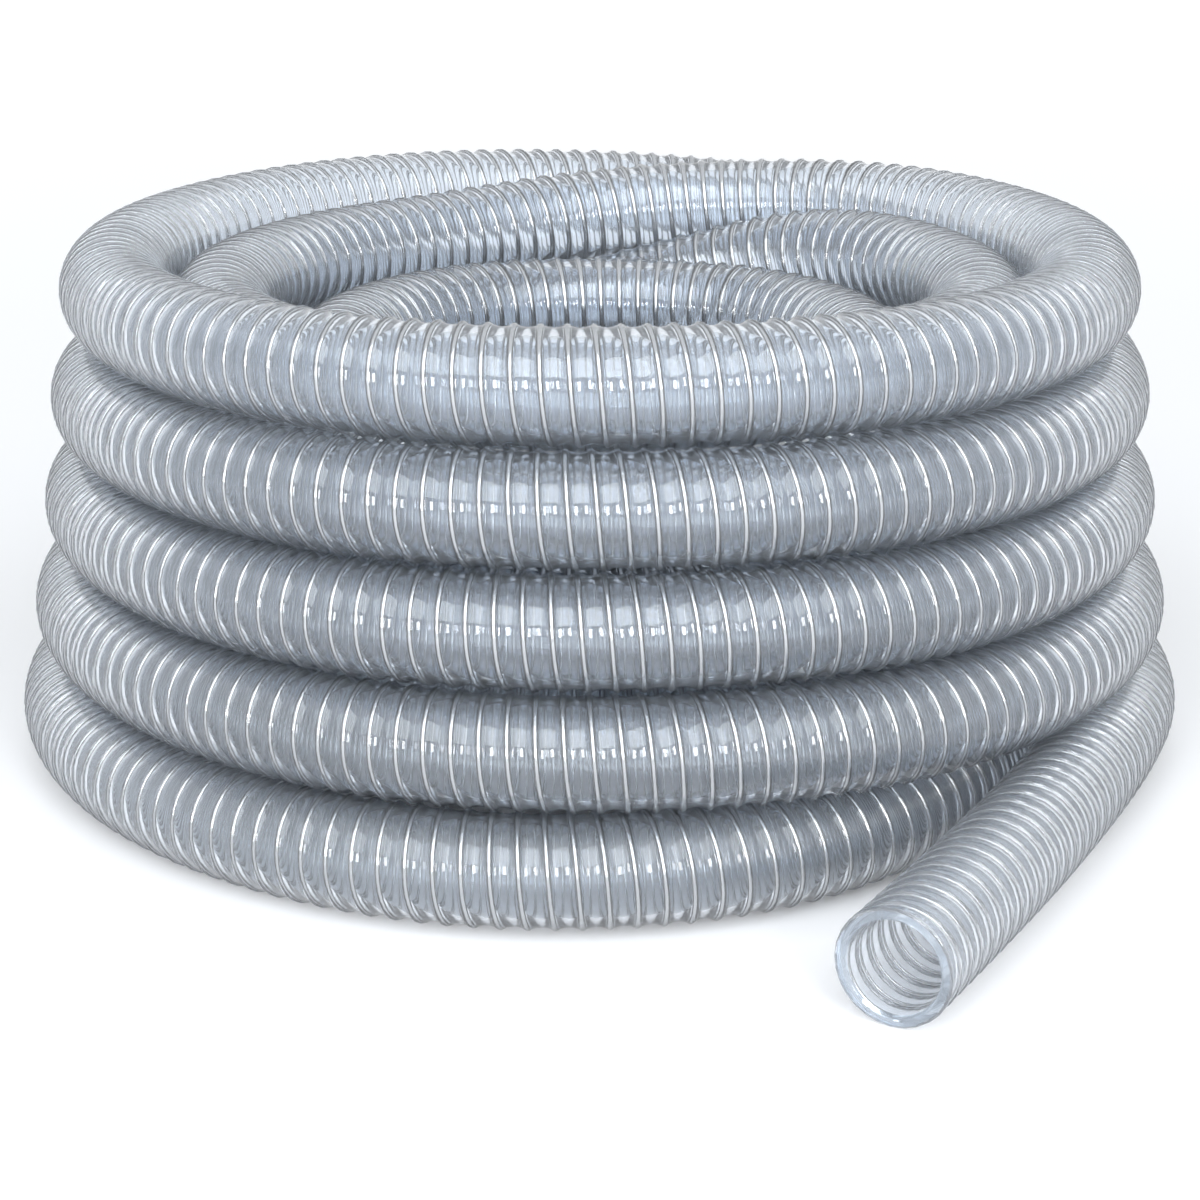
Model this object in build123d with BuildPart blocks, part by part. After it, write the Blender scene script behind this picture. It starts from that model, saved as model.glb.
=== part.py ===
# Clear spiral-wire vacuum hose for pools, wound into a standing coil. Millimetres, +Z up.
# The hose is one PVC tube with one spring-steel wire wound inside its wall. It lies as three
# coils, one inside another: the outer one is wound upwards, the middle one down and the inner
# one up again. One end runs off along the floor, the other lies on top of the inner coil.
# The origin is on the floor, under the middle of the space that the wound hose takes.
import math
import os

from build123d import *

# Hose section
bore_diameter = 38.0
wall_thickness = 5.0          # through a rib, where the wire is
rim_fillet = 1.2              # rounding of a cut end's two edges
wire_diameter = 1.6
wire_pitch = 10.4             # along the hose, from one rib to the next
wire_cover = 1.5              # PVC between the wire and the outside of its rib

# How the turns lie: radii are of centre lines, and steps are in turn spacings
turn_gap = 0.4                # air left between two turns that lie on each other
web_thickness = 14.0          # joins the turns of one coil's plain solid
floor_radius = 248.0          # lowest outer turn, the widest one
outer_steps_in = (0.165, 0.145, 0.112, 0.132)       # each outer turn inside the one below
middle_step_in = 0.957        # top middle turn inside the top outer one
middle_insets = (0.42, 0.13, 0.17, 0.0)             # middle turns inside their top one
shoulder_angle = 45.0         # the middle coil rides on the inner one's floor turn at this slope
second_turn_inset = 0.97      # inner coil's second turn inside the lowest middle turn
third_turn_inset = 0.058      # its third turn inside its first
top_turn_inset = 0.888        # its top turn inside the middle turn whose shoulder it lies on

# The end that lies free on the floor
floor_turn_start = -24.0      # azimuth where the free end runs into the floor turn
free_run_lengths = (64.0, 99.0, 99.0)               # from the coil out to the mouth
free_run_headings = (66.0, 63.4, 60.6)              # degrees from +X, towards the coil
arc_share = 0.45              # share of the shorter run that each bend's arc takes up
on_plane = 0.01               # an edge this near to a mouth's plane is one of its rim edges

# Where the floor turn passes inside the free end: azimuth, turn spacings inside the floor turn
floor_turn_end = 262.0
inner_pass_insets = ((296.0, 0.5), (325.0, 1.06), (355.0, 1.08), (378.0, 1.06))

# The other end, on top of the inner coil
top_turn_start = -15.0
top_turn_end = 222.0
inner_end_arc = 30.0          # degrees that the open end still bends
inner_end_tighter = 0.8       # radius of that bend, in radii of the top turn
inner_end_straight = 20.0

hose_diameter = bore_diameter + 2 * wall_thickness
hose_radius = hose_diameter / 2
turn_spacing = hose_diameter + turn_gap
wire_orbit = hose_radius - wire_cover - wire_diameter / 2

# The mouth's place, worked back from the coil along the free runs
heading = [math.radians(a) for a in free_run_headings]
start_azimuth = math.radians(floor_turn_start)
free_route = [(floor_radius * math.cos(start_azimuth), floor_radius * math.sin(start_azimuth))]
for run_length, run_heading in zip(free_run_lengths, heading):
    last_x, last_y = free_route[-1]
    free_route.append(
        (last_x - run_length * math.cos(run_heading), last_y - run_length * math.sin(run_heading))
    )
free_route.reverse()

# The coils' axis stands back from the origin, because the mouth reaches out in front
mouth_reach = -free_route[0][1] + hose_radius * abs(math.cos(heading[-1]))
coil_reach = floor_radius + hose_radius
axis_y = (mouth_reach - coil_reach) / 2
coil_axis = Axis((0, axis_y, 0), (0, 0, 1))


def ring_plane(azimuth, height=0.0):
    """Upright plane through the coils' axis: local x points outwards, local y up."""
    a = math.radians(azimuth)
    return Plane(
        origin=(0, axis_y, height),
        x_dir=(math.cos(a), math.sin(a), 0),
        z_dir=(math.sin(a), -math.cos(a), 0),
    )


def ring_point(radius, azimuth, height):
    a = math.radians(azimuth)
    return Vector(radius * math.cos(a), axis_y + radius * math.sin(a), height)


def ring_heading(azimuth):
    a = math.radians(azimuth)
    return Vector(-math.sin(a), math.cos(a), 0)


def draw_turns(radii, heights):
    """Sections of turns that lie on each other, joined by a web from centre to centre."""
    centres = list(zip(radii, heights))
    with Locations(*centres):
        Circle(hose_radius)
    half = web_thickness / 2
    for (low_radius, low_height), (high_radius, high_height) in zip(centres, centres[1:]):
        Polygon(
            (low_radius - half, low_height),
            (low_radius + half, low_height),
            (high_radius + half, high_height),
            (high_radius - half, high_height),
            align=None,
        )


def rest_height(radius, radius_below, height_below):
    """Centre height of a turn that rests on the shoulder of the turn below."""
    return height_below + math.sqrt(turn_spacing**2 - (radius - radius_below) ** 2)


def stack_heights(radii, base_height):
    heights = [base_height]
    for radius_below, radius in zip(radii, radii[1:]):
        heights.append(rest_height(radius, radius_below, heights[-1]))
    return heights


outer_radii = [floor_radius]
for step_in in outer_steps_in:
    outer_radii.append(outer_radii[-1] - step_in * turn_spacing)
outer_heights = stack_heights(outer_radii, hose_radius)

middle_top_radius = outer_radii[-1] - middle_step_in * turn_spacing
middle_radii = [middle_top_radius - inset * turn_spacing for inset in middle_insets]
inner_floor_radius = middle_radii[0] - turn_spacing * math.cos(math.radians(shoulder_angle))
middle_base = rest_height(middle_radii[0], inner_floor_radius, hose_radius)
middle_heights = stack_heights(middle_radii, middle_base)

# The inner coil's lower three turns stand on the floor, and its top one lies on the middle coil
inner_radii = [
    inner_floor_radius,
    middle_radii[0] - second_turn_inset * turn_spacing,
    inner_floor_radius - third_turn_inset * turn_spacing,
    middle_radii[2] - top_turn_inset * turn_spacing,
]
inner_heights = stack_heights(inner_radii[:3], hose_radius)
inner_heights.append(rest_height(inner_radii[3], middle_radii[2], middle_heights[2]))

# Outer coil: four whole turns over a floor turn that starts at the free end
with BuildPart() as outer_coil:
    with BuildSketch(ring_plane(0)):
        draw_turns(outer_radii[1:], outer_heights[1:])
    revolve(axis=coil_axis, revolution_arc=360)
    with BuildSketch(ring_plane(floor_turn_start)):
        draw_turns(outer_radii[:2], outer_heights[:2])
    revolve(axis=coil_axis, revolution_arc=floor_turn_end - floor_turn_start)
    # the floor turn passes inside the free end, one hose's width further in
    pass_points = [ring_point(floor_radius, floor_turn_end, hose_radius)]
    for azimuth, inset in inner_pass_insets:
        pass_points.append(ring_point(floor_radius - inset * turn_spacing, azimuth, hose_radius))
    pass_headings = (ring_heading(floor_turn_end), ring_heading(inner_pass_insets[-1][0]))
    with BuildLine() as inner_pass:
        Spline(*pass_points, tangents=pass_headings)
    with BuildSketch(Plane(inner_pass.line @ 0, z_dir=inner_pass.line % 0)):
        Circle(hose_radius)
    sweep(path=inner_pass.line)
outer_coil.part.label = "outer_coil"

with BuildPart() as middle_coil:
    with BuildSketch(ring_plane(0)):
        draw_turns(middle_radii, middle_heights)
    revolve(axis=coil_axis, revolution_arc=360)
middle_coil.part.label = "middle_coil"

# Inner coil: its top turn stops where the hose's open end begins
with BuildPart() as inner_coil:
    with BuildSketch(ring_plane(0)):
        draw_turns(inner_radii[:-1], inner_heights[:-1])
    revolve(axis=coil_axis, revolution_arc=360)
    with BuildSketch(ring_plane(top_turn_start)):
        draw_turns(inner_radii[-2:], inner_heights[-2:])
    revolve(axis=coil_axis, revolution_arc=top_turn_end - top_turn_start)
inner_coil.part.label = "inner_coil"

# Spring-steel wire, as far as the hose is straight behind its mouth
free_points = [(x, y + axis_y, hose_radius) for x, y in free_route]
mouth_point = Vector(*free_points[0])
mouth_heading = (Vector(*free_points[1]) - mouth_point).normalized()
first_arc_start = free_run_lengths[-1] - arc_share * min(free_run_lengths[-2:])
wire_turns = int((first_arc_start - wire_pitch / 2) / wire_pitch)
wire_start = mouth_point + mouth_heading * (wire_pitch / 2)
with BuildPart() as wire_helix:
    with BuildLine() as wire_path:
        Helix(wire_pitch, wire_turns * wire_pitch, wire_orbit, wire_start, mouth_heading)
    with BuildSketch(Plane(wire_path.line @ 0, z_dir=wire_path.line % 0)):
        Circle(wire_diameter / 2)
    sweep(path=wire_path.line, is_frenet=True)
wire_helix.part.label = "wire_helix"

# Free end: an open tube of straight runs and tangent arcs, with the wire inside its wall
bend_radii = []
for before, at, after in zip(free_points, free_points[1:], free_points[2:]):
    run_in = Vector(*at) - Vector(*before)
    run_out = Vector(*after) - Vector(*at)
    shorter_run = min(run_in.length, run_out.length)
    half_turn = math.radians(run_in.get_angle(run_out)) / 2
    bend_radii.append(arc_share * shorter_run / math.tan(half_turn))
with BuildPart() as free_end:
    with BuildLine() as free_path:
        FilletPolyline(*free_points, radius=bend_radii)
    with BuildSketch(Plane(mouth_point, z_dir=mouth_heading)):
        Circle(hose_radius)
        Circle(bore_diameter / 2, mode=Mode.SUBTRACT)
    sweep(path=free_path.line)
    mouth_plane = Plane(mouth_point, z_dir=mouth_heading)
    rim_edges = [e for e in free_end.edges() if abs(mouth_plane.to_local_coords(e.center()).Z) < on_plane]
    fillet(rim_edges, rim_fillet)
    add(wire_helix.part, mode=Mode.SUBTRACT)
free_end.part.label = "free_end"

# Inner end: it bends a little tighter than its turn, then runs straight to an open mouth
with BuildPart() as inner_end:
    with BuildLine() as end_path:
        end_bend = JernArc(
            ring_point(inner_radii[-1], top_turn_end, inner_heights[-1]),
            ring_heading(top_turn_end),
            inner_end_tighter * inner_radii[-1],
            inner_end_arc,
        )
        Line(end_bend @ 1, end_bend @ 1 + (end_bend % 1) * inner_end_straight)
    with BuildSketch(Plane(end_path.line @ 0, z_dir=end_path.line % 0)):
        Circle(hose_radius)
        Circle(bore_diameter / 2, mode=Mode.SUBTRACT)
    sweep(path=end_path.line)
    mouth_plane = Plane(end_path.line @ 1, z_dir=end_path.line % 1)
    rim_edges = [e for e in inner_end.edges() if abs(mouth_plane.to_local_coords(e.center()).Z) < on_plane]
    fillet(rim_edges, rim_fillet)
inner_end.part.label = "inner_end"

os.makedirs("parts", exist_ok=True)
for piece in (outer_coil, middle_coil, inner_coil, free_end, inner_end, wire_helix):
    export_step(piece.part, f"parts/{piece.part.label}.step")
    print(piece.part.label, "solids", len(piece.part.solids()), "volume", round(piece.part.volume))

ring_area = math.pi * (hose_radius**2 - (bore_diameter / 2) ** 2)
print("bend radii of the free end", [round(r) for r in bend_radii])
print("free end volume", round(free_end.part.volume + wire_helix.part.volume))
free_length = sum(edge.length for edge in free_path.edges())
print("section times length", round(ring_area * free_length))
print("coil axis at y", round(axis_y, 3), "free route", [(round(x, 1), round(y, 1)) for x, y in free_route])
print("mouth", mouth_point, "heading", mouth_heading)
print("wire turns", wire_turns)
for name, radii, heights in (
    ("outer", outer_radii, outer_heights),
    ("middle", middle_radii, middle_heights),
    ("inner", inner_radii, inner_heights),
):
    print(name, [round(r, 2) for r in radii], [round(h, 2) for h in heights])
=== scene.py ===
import math

import bpy
import numpy as np
from mathutils import Euler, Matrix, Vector


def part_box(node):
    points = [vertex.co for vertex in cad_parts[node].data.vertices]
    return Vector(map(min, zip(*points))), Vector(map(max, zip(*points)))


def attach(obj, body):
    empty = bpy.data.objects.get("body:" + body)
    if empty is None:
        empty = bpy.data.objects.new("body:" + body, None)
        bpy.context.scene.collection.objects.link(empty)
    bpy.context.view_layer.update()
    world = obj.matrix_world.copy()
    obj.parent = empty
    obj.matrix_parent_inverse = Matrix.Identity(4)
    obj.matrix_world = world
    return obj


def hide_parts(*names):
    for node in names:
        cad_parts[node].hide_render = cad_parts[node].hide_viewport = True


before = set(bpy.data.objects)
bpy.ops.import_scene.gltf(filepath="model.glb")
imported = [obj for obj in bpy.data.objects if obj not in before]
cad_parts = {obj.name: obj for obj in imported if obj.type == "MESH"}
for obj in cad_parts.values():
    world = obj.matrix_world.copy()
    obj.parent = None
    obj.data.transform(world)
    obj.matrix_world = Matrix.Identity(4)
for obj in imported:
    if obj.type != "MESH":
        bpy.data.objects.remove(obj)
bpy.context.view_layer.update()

# Metres, the same frame as the CAD part
hose = {
    "diameter": 0.048,  # over the ribs
    "bore": 0.038,
    "pitch": 0.0104,  # from one rib to the next
    "ribRound": 0.0016,  # radius of the rib's crest over the wire
    "ribHalf": 0.0011,  # from its crest to where its flank starts
    "foot": 0.0002,  # drop of the flank into the scallop
    "footRun": 0.0003,  # how quickly it runs out
    "sag": 0.0009,  # how far the scallop sags between two flanks
    "rim": 0.0012,  # rounding of the cut edges
    "rimAngles": (30, 60, 90),  # where the rounding has its rings
    "rimGap": 0.0003,  # from it to the first whole ring
    "fullEnd": 0.004,  # the cut ends have no scallops over this length
    "segments": 28,  # round the outside
    "rings": (0, 0.0005, 0.0009, 0.0012, 0.0015, 0.0021, 0.0035),  # from a crest, half of one pitch
    "boreRing": 0.0042,  # from one ring of the bore to the next
}
hoseRadius = hose["diameter"] / 2
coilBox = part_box("middle_coil")
coilAxis = Vector(((coilBox[0].x + coilBox[1].x) / 2, (coilBox[0].y + coilBox[1].y) / 2, 0))
print("coil axis", [round(v, 4) for v in coilAxis])

# azimuths are in degrees round the coils' axis, and go on from turn to turn along the hose
winding = {
    # radius and height of each turn's centre line: outer from the floor up, middle from the top
    # down, inner from the floor up
    "outer": [(0.2480, 0.0240), (0.2400, 0.0717), (0.2330, 0.1196), (0.2276, 0.1677), (0.2212, 0.2157)],
    "middle": [(0.1749, 0.2006), (0.1666, 0.1529), (0.1686, 0.1045), (0.1545, 0.0582)],
    "inner": [(0.1203, 0.0240), (0.1076, 0.0707), (0.1175, 0.1181), (0.1237, 0.1752)],
    "start": -24.0,  # azimuth where the free end runs into the floor turn
    "floorPass": [  # azimuth, radius, height: inside the free end's start, then up at the back
        (262, 0.2480, 0.0240),
        (290, 0.2360, 0.0240),
        (325, 0.1996, 0.0240),
        (360, 0.1965, 0.0240),
        (395, 0.1970, 0.0250),
        (425, 0.2030, 0.0420),
        (465, 0.2250, 0.0640),
    ],
    "floorEnd": 490,  # azimuth where it has reached the second turn
    "outerSteps": (784, 56),  # where the first step to the next turn starts, and its degrees
    "crossing": (1492.0, 1556.0),  # azimuths between which the top turn comes up outside its own end
    "crossingTurns": (0, 1, 2),  # turns on from there to the rise, the lead-in and the sink
    "crossingPoints": 9,
    "riseShares": (0, 0.125, 0.25, 0.5, 1),  # how far through the crossing each rise angle holds
    "riseAngles": (-36, -20, -9, 0, 18),  # how the rising turn goes round the one that leads in
    "sinkAngles": (198, 260),  # how the middle coil goes round it, from the first to the last
    "swing": (46, 22, -60),  # degrees ahead where it leaves its level and swings out, and the angle
    "middleSteps": (2566, 54),
    "innerPass": [(3130, 0.1545, 0.0582), (3200, 0.1380, 0.0385), (3270, 0.1203, 0.0240)],
    "innerSteps": (3470, 115),
    "lastRadius": 0.1215,  # at the hose's inner end
    "end": 4575.0,  # azimuth of that end, 12.8 turns on from the start
    "runs": [(0.064, 66.0), (0.099, 63.4), (0.099, 60.6)],  # free end, out to the mouth
    "step": 2.0,  # degrees from one point of the route to the next
    "easing": (14, 4.0),  # points on either side that round off a change of level, and their spread
    "spacing": 0.0485,  # how far apart the route points of two turns are pushed
    "crossingSpacing": 0.0487,
    "runStep": 0.008,  # from one point of the free end to the next
}


def smoothed(values, half, sigma):
    # a running mean with bell-shaped weights
    weights = np.exp(-np.arange(-half, half + 1) ** 2 / (2 * sigma**2))
    weights /= weights.sum()
    return np.convolve(np.pad(values, half, mode="edge"), weights, mode="valid")


def steps(where, levels):
    # each level steps to the next once a turn
    begin, reach = where
    places = []
    for turn, (level, after) in enumerate(zip(levels, levels[1:])):
        places += [(begin + 360 * turn, *level), (begin + 360 * turn + reach, *after)]
    return places


def beside(place, degrees):
    # the place of a turn that lies on another at an angle, 0 outside it and 90 on top
    angle = np.radians(degrees)
    return place + winding["crossingSpacing"] * np.stack([np.cos(angle), np.sin(angle)], -1)


def crossing():
    # the top turn leads in to the middle coil, over the turn that goes down there, while the turn
    # below comes up outside it
    top, within = winding["outer"][4], winding["middle"][0]
    shares = np.linspace(0, 1, winding["crossingPoints"])
    azimuths = np.linspace(*winding["crossing"], winding["crossingPoints"])
    leadIn = np.linspace(top, within, winding["crossingPoints"])
    rise = beside(leadIn, np.interp(shares, winding["riseShares"], winding["riseAngles"]))
    sink = beside(leadIn, np.interp(shares, (0, 1), winding["sinkAngles"]))
    start, swing, angle = winding["swing"]
    places = [(azimuths[0] - start, *winding["outer"][3])]
    places += [(azimuths[0] - swing, *beside(np.array(top), angle))]
    for turns, line in zip(winding["crossingTurns"], (rise, leadIn, sink)):
        places += [(360 * turns + azimuth, *place) for azimuth, place in zip(azimuths, line)]
    return places


def windHose():
    outer, middle, inner = winding["outer"], winding["middle"], winding["inner"]
    stations = [(winding["start"], *outer[0]), *winding["floorPass"], (winding["floorEnd"], *outer[1])]
    stations += steps(winding["outerSteps"], outer[1:4])
    stations += crossing()
    stations += steps(winding["middleSteps"], middle[1:4])
    stations += winding["innerPass"]
    stations += steps(winding["innerSteps"], inner)
    stations += [(winding["end"], winding["lastRadius"], inner[3][1])]
    stations = np.array(stations)
    azimuth = np.arange(winding["start"], winding["end"] + 0.1, winding["step"])
    radius = smoothed(np.interp(azimuth, stations[:, 0], stations[:, 1]), *winding["easing"])
    height = smoothed(np.interp(azimuth, stations[:, 0], stations[:, 2]), *winding["easing"])
    angle = np.radians(azimuth)
    turns = np.c_[radius * np.cos(angle), radius * np.sin(angle), height]
    corners = [turns[0]]
    for length, heading in winding["runs"]:
        heading = math.radians(heading)
        corners.append(corners[-1] - length * np.array([math.cos(heading), math.sin(heading), 0]))
    corners.reverse()
    free = []
    for a, b in zip(corners, corners[1:]):
        count = math.ceil(np.linalg.norm(b - a) / winding["runStep"])
        free += [a + (b - a) * i / count for i in range(count)]
    return np.array(corners[:-1]), np.array(free), turns


settling = {
    "sweeps": 160,
    "refresh": 20,  # sweeps after which the near pairs are looked up again
    "reach": 1.25,  # pairs nearer than this many spacings are watched
    "skip": 31,  # points along the hose that don't push each other
    "push": 1.6,  # times its half of the overlap that each turn moves
    "easing": (20, 6.0),  # points on either side that share a push, and their spread
    "held": 10,  # points behind the free end that don't move, and as many that ease off
}


def settleTurns(free, turns):
    # neighbouring turns push each other apart, until all are a spacing apart or the sweeps run out;
    # the spline through them comes up to 0.6 mm nearer
    line = np.vstack([free, turns])
    first, held, spacing = len(free), settling["held"], winding["spacing"]
    loose = np.ones(len(line))
    loose[: first + held] = 0
    loose[first + held : first + 2 * held] = np.linspace(0, 1, held)
    for sweep in range(settling["sweeps"]):
        if sweep % settling["refresh"] == 0:
            square = (line**2).sum(1)
            apart = square[:, None] + square[None] - 2 * line @ line.T
            near = apart < (settling["reach"] * spacing) ** 2
            a, b = np.nonzero(np.triu(near, settling["skip"]))
        apart = line[a] - line[b]
        gap = np.linalg.norm(apart, axis=1)
        close = gap < spacing
        if not close.any():
            break
        push = (spacing - gap[close])[:, None] * apart[close] / gap[close, None] / 2
        move = np.zeros_like(line)
        count = np.zeros(len(line))
        for ends, way in ((a[close], 1), (b[close], -1)):
            np.add.at(move, ends, way * push)
            np.add.at(count, ends, 1)
        move *= (settling["push"] * loose / np.maximum(count, 1))[:, None]
        for axis in range(3):
            move[:, axis] = smoothed(move[:, axis], *settling["easing"])
        line += move * loose[:, None]
        line[:, 2] = np.maximum(line[:, 2], hoseRadius)
    print("turns pushed for", sweep + 1, "sweeps, nearest points", round(gap.min() * 1000, 2), "mm")
    return line[first:]


freeCorners, freeLine, turnLine = windHose()
turnLine = settleTurns(freeLine, turnLine)
every = 6  # route points to one control point, which makes 30 of those to a turn
widen = 1 / math.cos(math.radians(winding["step"] * every / 2))  # the spline cuts inside its points
controls = turnLine[::every].copy()
controls[1:, :2] *= widen
controls = np.vstack([freeCorners, controls, turnLine[-1]])
controls += np.array(coilAxis)

curve = bpy.data.curves.new("hoseLine", "CURVE")
curve.dimensions = "3D"
curve.resolution_u = 16
spline = curve.splines.new("NURBS")
spline.points.add(len(controls) - 1)
for point, place in zip(spline.points, controls):
    point.co = (*place, 1)
spline.order_u = 3
spline.use_endpoint_u = True
lineObject = bpy.data.objects.new("hoseLine", curve)
bpy.context.scene.collection.objects.link(lineObject)
bpy.context.view_layer.update()
lineMesh = bpy.data.meshes.new_from_object(lineObject)
centre = np.array([v.co for v in lineMesh.vertices])
bpy.data.objects.remove(lineObject)
bpy.data.meshes.remove(lineMesh)
centre = centre[np.r_[True, np.linalg.norm(np.diff(centre, axis=0), axis=1) > 1e-6]]
along = np.r_[0, np.cumsum(np.linalg.norm(np.diff(centre, axis=0), axis=1))]
hoseLength = float(along[-1])
print("hose line", len(centre), "points,", round(hoseLength, 3), "m")

# a frame that follows the line without twisting
tangent = np.gradient(centre, along, axis=0)
tangent /= np.linalg.norm(tangent, axis=1)[:, None]
side = np.zeros_like(centre)
side[0] = np.cross(tangent[0], (0, 0, 1))
for i in range(1, len(centre)):
    s = side[i - 1] - tangent[i] * np.dot(side[i - 1], tangent[i])
    side[i] = s / np.linalg.norm(s)


def onLine(s):
    # centre, side and up of the hose at each distance along it
    s = np.clip(s, 0, hoseLength)
    c = np.stack([np.interp(s, along, centre[:, i]) for i in range(3)], -1)
    t = np.stack([np.interp(s, along, tangent[:, i]) for i in range(3)], -1)
    n = np.stack([np.interp(s, along, side[:, i]) for i in range(3)], -1)
    t /= np.linalg.norm(t, axis=-1, keepdims=True)
    n -= t * (n * t).sum(-1, keepdims=True)
    n /= np.linalg.norm(n, axis=-1, keepdims=True)
    return c, n, np.cross(t, n)


def tubePoints(s, angle, radius):
    # points at a distance along the hose, an angle round it and a radius from its line
    c, n, u = onLine(s)
    return c + radius[..., None] * (np.cos(angle)[..., None] * n + np.sin(angle)[..., None] * u)


def meshOf(name, points, faces, materials, finish=None):
    mesh = bpy.data.meshes.new(name)
    mesh.vertices.add(len(points))
    mesh.vertices.foreach_set("co", np.ascontiguousarray(points, dtype=np.float32).ravel())
    sizes = np.full(len(faces), faces.shape[1], np.int32)
    mesh.loops.add(faces.size)
    mesh.loops.foreach_set("vertex_index", faces.astype(np.int32).ravel())
    mesh.polygons.add(len(faces))
    mesh.polygons.foreach_set("loop_start", np.r_[0, np.cumsum(sizes)[:-1]].astype(np.int32))
    mesh.polygons.foreach_set("loop_total", sizes)
    mesh.polygons.foreach_set("use_smooth", np.ones(len(faces), bool))
    for material in materials:
        mesh.materials.append(material)
    if finish is not None:
        mesh.polygons.foreach_set("material_index", finish.astype(np.int32))
    mesh.update(calc_edges=True)
    mesh.validate()
    piece = bpy.data.objects.new(name, mesh)
    bpy.context.scene.collection.objects.link(piece)
    return piece


def ringFaces(rings, segments):
    # quads between closed rings that follow one another
    ring, seg = np.meshgrid(np.arange(rings - 1), np.arange(segments), indexing="ij")
    after = (seg + 1) % segments
    a, b = ring * segments + seg, ring * segments + after
    return np.stack([a, b, b + segments, a + segments], -1).reshape(-1, 4)


def newMaterial(name):
    material = bpy.data.materials.new(name)
    material.use_nodes = True
    return material, material.node_tree.nodes["Principled BSDF"]


pvc = {
    "color": (0.92, 0.955, 1.0, 1),
    "cutColor": (0.70, 0.79, 0.90, 1),
    "ior": 1.5,
    "outside": (0.03, 0.95),  # roughness, and how clear it is
    "bore": (0.06, 0.95),
    "cut": (0.12, 0.80),
}


def newPvc(name, color, roughness, clear):
    material, shader = newMaterial(name)
    shader.inputs["Base Color"].default_value = color
    shader.inputs["Roughness"].default_value = roughness
    shader.inputs["IOR"].default_value = pvc["ior"]
    shader.inputs["Transmission Weight"].default_value = clear
    return material


clearPvc = newPvc("clearPvc", pvc["color"], *pvc["outside"])
borePvc = newPvc("borePvc", pvc["color"], *pvc["bore"])
cutPvc = newPvc("cutPvc", pvc["cutColor"], *pvc["cut"])

steel = {"color": (0.58, 0.572, 0.565, 1), "roughness": 0.2}
springSteel, shader = newMaterial("springSteel")
shader.inputs["Base Color"].default_value = steel["color"]
shader.inputs["Roughness"].default_value = steel["roughness"]
shader.inputs["Metallic"].default_value = 1.0


def ribSink(turn):
    # how far the wall lies below a rib's crest
    away = np.abs((turn + 0.5) % 1.0 - 0.5) * hose["pitch"]
    crest, half, span = hose["ribRound"], hose["ribHalf"], hose["pitch"] / 2 - hose["ribHalf"]
    arc = crest - np.sqrt(crest**2 - np.minimum(away, half) ** 2)
    foot = 1 - np.exp(-np.maximum(away - half, 0) / hose["footRun"])
    scallop = 1 - (1 - np.clip((away - half) / span, 0, 1)) ** 2
    return arc + hose["foot"] * foot + hose["sag"] * scallop


def makeWall():
    segments, pitch = hose["segments"], hose["pitch"]
    places = [place / pitch for place in hose["rings"]]
    places = np.array(places + [0.5] + [1 - place for place in places[:0:-1]])
    rim, outside, inside = hose["rim"], hoseRadius, hose["bore"] / 2
    seg = np.arange(segments)
    angle = 2 * math.pi * seg / segments
    # the rings step along the ribs, so every rib keeps its points on its crest
    count = int(hoseLength / pitch * len(places))
    ring = np.arange(count)[:, None] - seg[None] * len(places) // segments
    s = pitch * (ring // len(places) + places[ring % len(places)] + seg[None] / segments)
    s = s[(s.min(1) > rim + hose["rimGap"]) & (s.max(1) < hoseLength - rim - hose["rimGap"])]
    s = np.vstack([np.full(segments, rim), s, np.full(segments, hoseLength - rim)])
    phi = np.broadcast_to(angle[None], s.shape)
    inwards = np.clip((np.minimum(s, hoseLength - s) - rim) / hose["fullEnd"], 0, 1)
    radius = outside - inwards * ribSink(s / pitch - phi / (2 * math.pi))
    edge, lastEdge = radius[0], radius[-1]
    # the cut ends: an outer rounding, a flat ring, an inner rounding
    quarter = [math.radians(a) for a in hose["rimAngles"]]
    start, end = [], []
    for a in quarter:
        back, drop = rim * (1 - math.sin(a)), rim * (1 - math.cos(a))
        start.append((back, edge - drop))
        end.append((hoseLength - back, lastEdge - drop))
    for a in quarter[::-1] + [0.0]:
        back, drop = rim * (1 - math.sin(a)), rim * (1 - math.cos(a))
        start.append((back, inside + drop))
        end.append((hoseLength - back, inside + drop))
    outer = tubePoints(s, phi, radius)
    count = int((hoseLength - 2 * rim) / hose["boreRing"])
    boreS = np.linspace(rim, hoseLength - rim, count + 1)[1:-1, None] + np.zeros((1, segments))
    bore = tubePoints(boreS, np.broadcast_to(angle[None], boreS.shape), np.full(boreS.shape, inside))
    lips = []
    for lip in (start, end):
        rings = [(np.full(segments, a), np.broadcast_to(r, (segments,))) for a, r in lip]
        lips.append(np.array([tubePoints(a, angle, r) for a, r in rings]))
    # rings in order: outside from the mouth to the far end, that end's lip, back through the bore
    rows = np.concatenate([outer, lips[1], bore[::-1], lips[0][::-1]])
    total = len(rows)
    faces = ringFaces(total, segments)
    after, final = (seg + 1) % segments, (total - 1) * segments
    faces = np.vstack([faces, np.stack([final + seg, final + after, after, seg], -1)])
    row = np.arange(len(faces)) // segments
    boreStart = len(outer) + len(end) - 1
    boreEnd = boreStart + len(bore) + 1
    finish = np.where(row < len(outer) + 2, 0, 2)  # the outer rounding still shows the glossy skin
    finish[row >= boreStart] = 1
    finish[row >= boreEnd] = 2
    finish[row >= total - 3] = 0
    tri = np.vstack([faces[:, [0, 1, 2]], faces[:, [0, 2, 3]]])  # split along the ribs
    return meshOf("hoseWall", rows.reshape(-1, 3), tri, (clearPvc, borePvc, cutPvc), np.tile(finish, 2))


wall = makeWall()
print("hose wall", len(wall.data.polygons), "faces")

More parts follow.
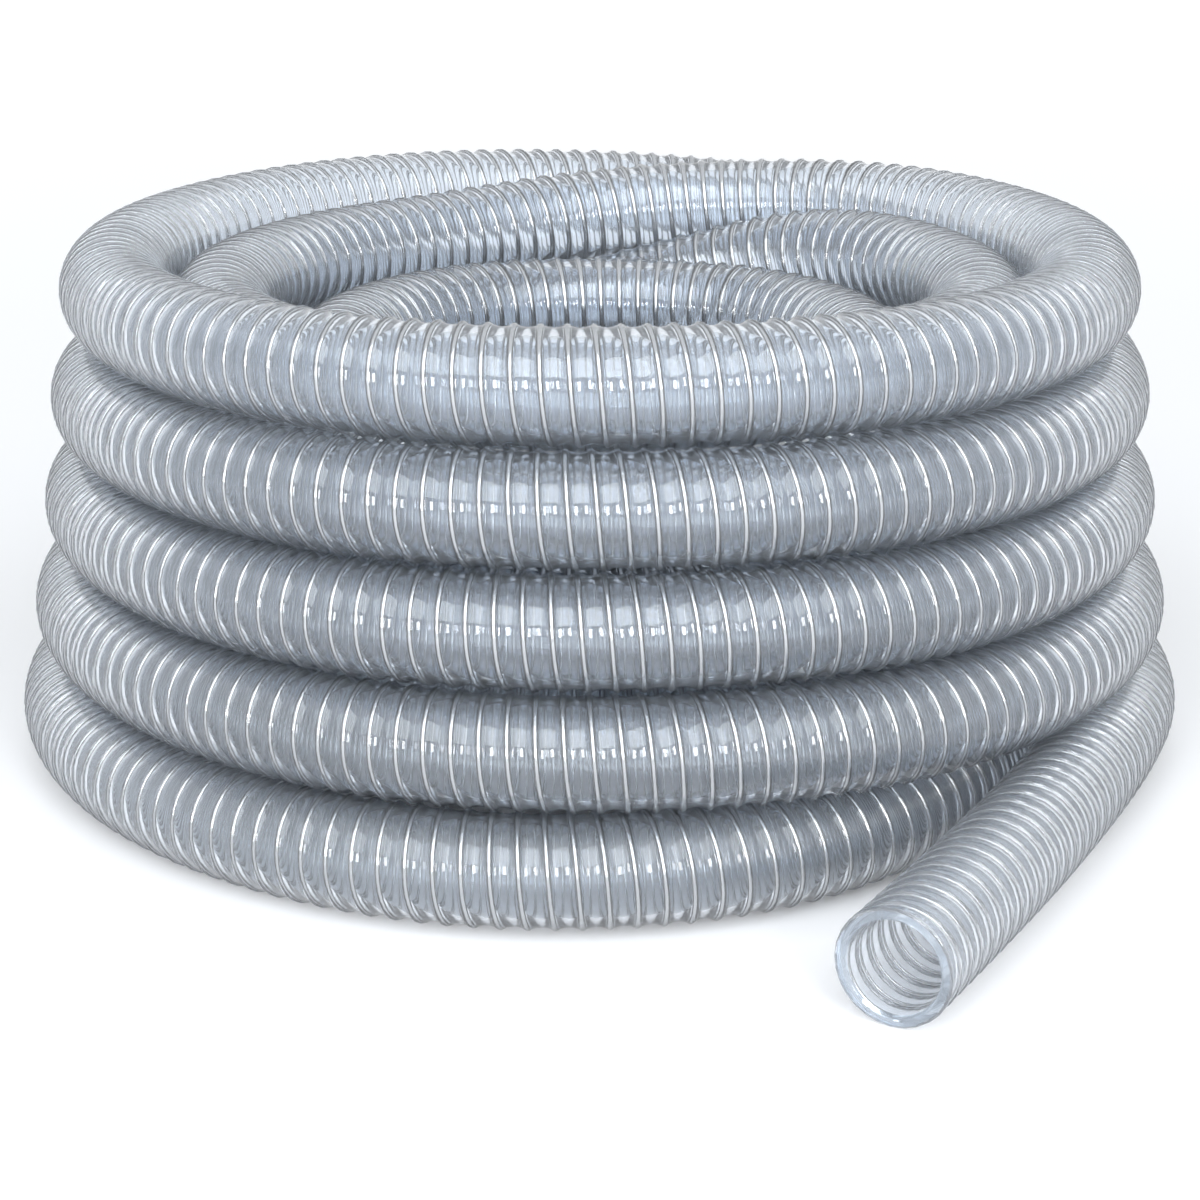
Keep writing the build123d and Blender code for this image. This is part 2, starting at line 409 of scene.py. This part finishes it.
wire = {
    "diameter": 0.0016,
    "cover": 0.0015,  # PVC outside the wire
    "stepsPerTurn": 32,
    "sides": 6,
    "endGap": 0.0012,  # from the wire's end to the cut
}


def makeWire():
    orbit = hoseRadius - wire["cover"] - wire["diameter"] / 2
    turns = (hoseLength - 2 * wire["endGap"] - wire["diameter"]) / hose["pitch"]
    angle = np.arange(0, turns * 2 * math.pi, 2 * math.pi / wire["stepsPerTurn"])
    s = angle / (2 * math.pi) * hose["pitch"]
    keep = s > wire["endGap"] + wire["diameter"] / 2
    s, angle = s[keep], angle[keep]
    line = tubePoints(s, angle, np.full(s.shape, orbit))
    c, n, u = onLine(s)
    outward = np.cos(angle)[:, None] * n + np.sin(angle)[:, None] * u
    t = np.gradient(line, axis=0)
    t /= np.linalg.norm(t, axis=1)[:, None]
    outward -= t * (outward * t).sum(1)[:, None]
    outward /= np.linalg.norm(outward, axis=1)[:, None]
    across = np.cross(t, outward)
    sides = wire["sides"]
    corner = 2 * math.pi * np.arange(sides)[None, :, None] / sides
    ring = np.cos(corner) * outward[:, None] + np.sin(corner) * across[:, None]
    points = line[:, None] + ring * wire["diameter"] / 2
    faces = ringFaces(len(line), sides)
    tri = np.vstack([faces[:, [0, 1, 2]], faces[:, [0, 2, 3]]])
    first, last = len(line) * sides, len(line) * sides + 1
    points = np.vstack([points.reshape(-1, 3), line[0], line[-1]])
    cap = []
    for k in range(sides):
        after, lastRing = (k + 1) % sides, (len(line) - 1) * sides
        cap.append((first, after, k))
        cap.append((last, lastRing + k, lastRing + after))
    return meshOf("wireHelix", points, np.vstack([tri, np.array(cap)]), (springSteel,))


wireHelix = makeWire()
print("wire", len(wireHelix.data.polygons), "faces")

for piece, nodes, slot in (
    (wall, ("outer_coil", "middle_coil", "inner_coil", "free_end", "inner_end"), "clear_pvc"),
    (wireHelix, ("wire_helix",), "spring_wire"),
):
    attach(piece, "root")
    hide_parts(*nodes)

studio = {
    "floorHalf": 30.0,
    "floorColor": (0.62, 0.62, 0.63, 1),
    "floorRoughness": 0.9,
    "paintedShadowUnder": (0.20, 0.275, 0.0, 1.0),  # distances out from the coils' axis, and the share that glows: none under the hose, which is a painted shadow there
    "floorGlow": (0.3, 3.5, 0.33, 0.75),  # distances out from it, and the glow seen there
    "worldColor": (0.95, 0.975, 1.0, 1),
    "worldLight": 0.40,  # how strongly the world lights the hose; it's seen at 1
    "aim": 0.12,  # height that the lamps point at
    "box": (6.0, 0, 50),  # distance, azimuth with 0 in front, elevation
    "boxSize": (7.5, 4.2),
    "boxPower": 420,
    "boxColor": (0.90, 0.955, 1.0),
    "strips": ((1.7, -17, 15), (1.7, 17, 15)),
    "stripSize": (0.30, 0.42),
    "stripPower": 7,
    "stripColor": (1, 1, 1),
}
studioAim = Vector((coilAxis.x, coilAxis.y, studio["aim"]))


def seenShare(tree):
    # 1 for rays from the camera, and for those that metal and glass send on
    path = tree.nodes.new("ShaderNodeLightPath")
    total = path.outputs["Is Camera Ray"]
    for name in ("Is Glossy Ray", "Is Transmission Ray"):
        most = tree.nodes.new("ShaderNodeMath")
        most.operation = "MAXIMUM"
        tree.links.new(total, most.inputs[0])
        tree.links.new(path.outputs[name], most.inputs[1])
        total = most.outputs[0]
    return total


def makeFloor():
    mesh = bpy.data.meshes.new("studioFloor")
    half = studio["floorHalf"]
    corners = [(-half, -half, 0), (half, -half, 0), (half, half, 0), (-half, half, 0)]
    mesh.from_pydata(corners, [], [(0, 1, 2, 3)])
    floor = bpy.data.objects.new("studioFloor", mesh)
    bpy.context.scene.collection.objects.link(floor)
    material, shader = newMaterial("studioFloor")
    tree = material.node_tree
    shader.inputs["Base Color"].default_value = studio["floorColor"]
    shader.inputs["Roughness"].default_value = studio["floorRoughness"]
    shader.inputs["Specular IOR Level"].default_value = 0.0
    shader.inputs["Emission Color"].default_value = (1, 1, 1, 1)
    # the floor glows only out from under the hose, so under it the floor is a painted shadow,
    # and the far floor, which the soft box lights less, glows more
    place = tree.nodes.new("ShaderNodeNewGeometry")
    away = tree.nodes.new("ShaderNodeVectorMath")
    away.operation = "DISTANCE"
    tree.links.new(place.outputs["Position"], away.inputs[0])
    away.inputs[1].default_value = coilAxis
    total = seenShare(tree)
    # the first range paints shadow under the hose by cutting its glow; the second evens the far floor
    for distances in (studio["paintedShadowUnder"], studio["floorGlow"]):
        rise = tree.nodes.new("ShaderNodeMapRange")
        for name, value in zip(("From Min", "From Max", "To Min", "To Max"), distances):
            rise.inputs[name].default_value = value
        tree.links.new(away.outputs["Value"], rise.inputs["Value"])
        glow = tree.nodes.new("ShaderNodeMath")
        glow.operation = "MULTIPLY"
        tree.links.new(total, glow.inputs[0])
        tree.links.new(rise.outputs["Result"], glow.inputs[1])
        total = glow.outputs[0]
    tree.links.new(total, shader.inputs["Emission Strength"])
    mesh.materials.append(material)


makeFloor()
world = bpy.data.worlds.new("studio")
bpy.context.scene.world = world
world.use_nodes = True
tree = world.node_tree
background = tree.nodes["Background"]
background.inputs["Color"].default_value = studio["worldColor"]
worldLight = tree.nodes.new("ShaderNodeMapRange")
worldLight.inputs["To Min"].default_value = studio["worldLight"]
worldLight.inputs["To Max"].default_value = 1.0
tree.links.new(seenShare(tree), worldLight.inputs["Value"])
tree.links.new(worldLight.outputs["Result"], background.inputs["Strength"])


def around(distance, azimuth, elevation):
    # a place seen from the middle of the hose, azimuth 0 towards the front
    a, e = math.radians(azimuth), math.radians(elevation)
    way = Vector((math.sin(a) * math.cos(e), -math.cos(a) * math.cos(e), math.sin(e)))
    return studioAim + distance * way


def softLamp(name, place, size, power, color):
    lamp = bpy.data.lights.new(name, "AREA")
    lamp.shape = "RECTANGLE"
    lamp.size, lamp.size_y = size
    lamp.energy = power
    lamp.color = color
    lampObject = bpy.data.objects.new(name, lamp)
    lampObject.location = place
    lampObject.rotation_euler = (studioAim - place).to_track_quat("-Z", "Y").to_euler()
    bpy.context.scene.collection.objects.link(lampObject)


softLamp("softBox", around(*studio["box"]), studio["boxSize"], studio["boxPower"], studio["boxColor"])
for name, place in zip(("leftStrip", "rightStrip"), studio["strips"]):
    softLamp(name, around(*place), studio["stripSize"], studio["stripPower"], studio["stripColor"])
print("floor, world and lamps made")

view = {
    "place": (0.0, -1.2297, 0.4726),
    "pitch": 18.156,  # degrees down
    "lens": 83.65,
    "sensor": 36,
    "bounces": 24,  # light passes many walls on its way through the coils
}
cameraData = bpy.data.cameras.new("camera")
cameraData.lens = view["lens"]
cameraData.sensor_width = view["sensor"]
camera = bpy.data.objects.new("camera", cameraData)
camera.location = view["place"]
camera.rotation_euler = Euler((math.radians(90 - view["pitch"]), 0, 0))
bpy.context.scene.collection.objects.link(camera)
bpy.context.scene.camera = camera

bpy.context.scene.view_settings.view_transform = "Standard"
bpy.context.scene.cycles.max_bounces = view["bounces"]
bpy.context.scene.cycles.transmission_bounces = view["bounces"]
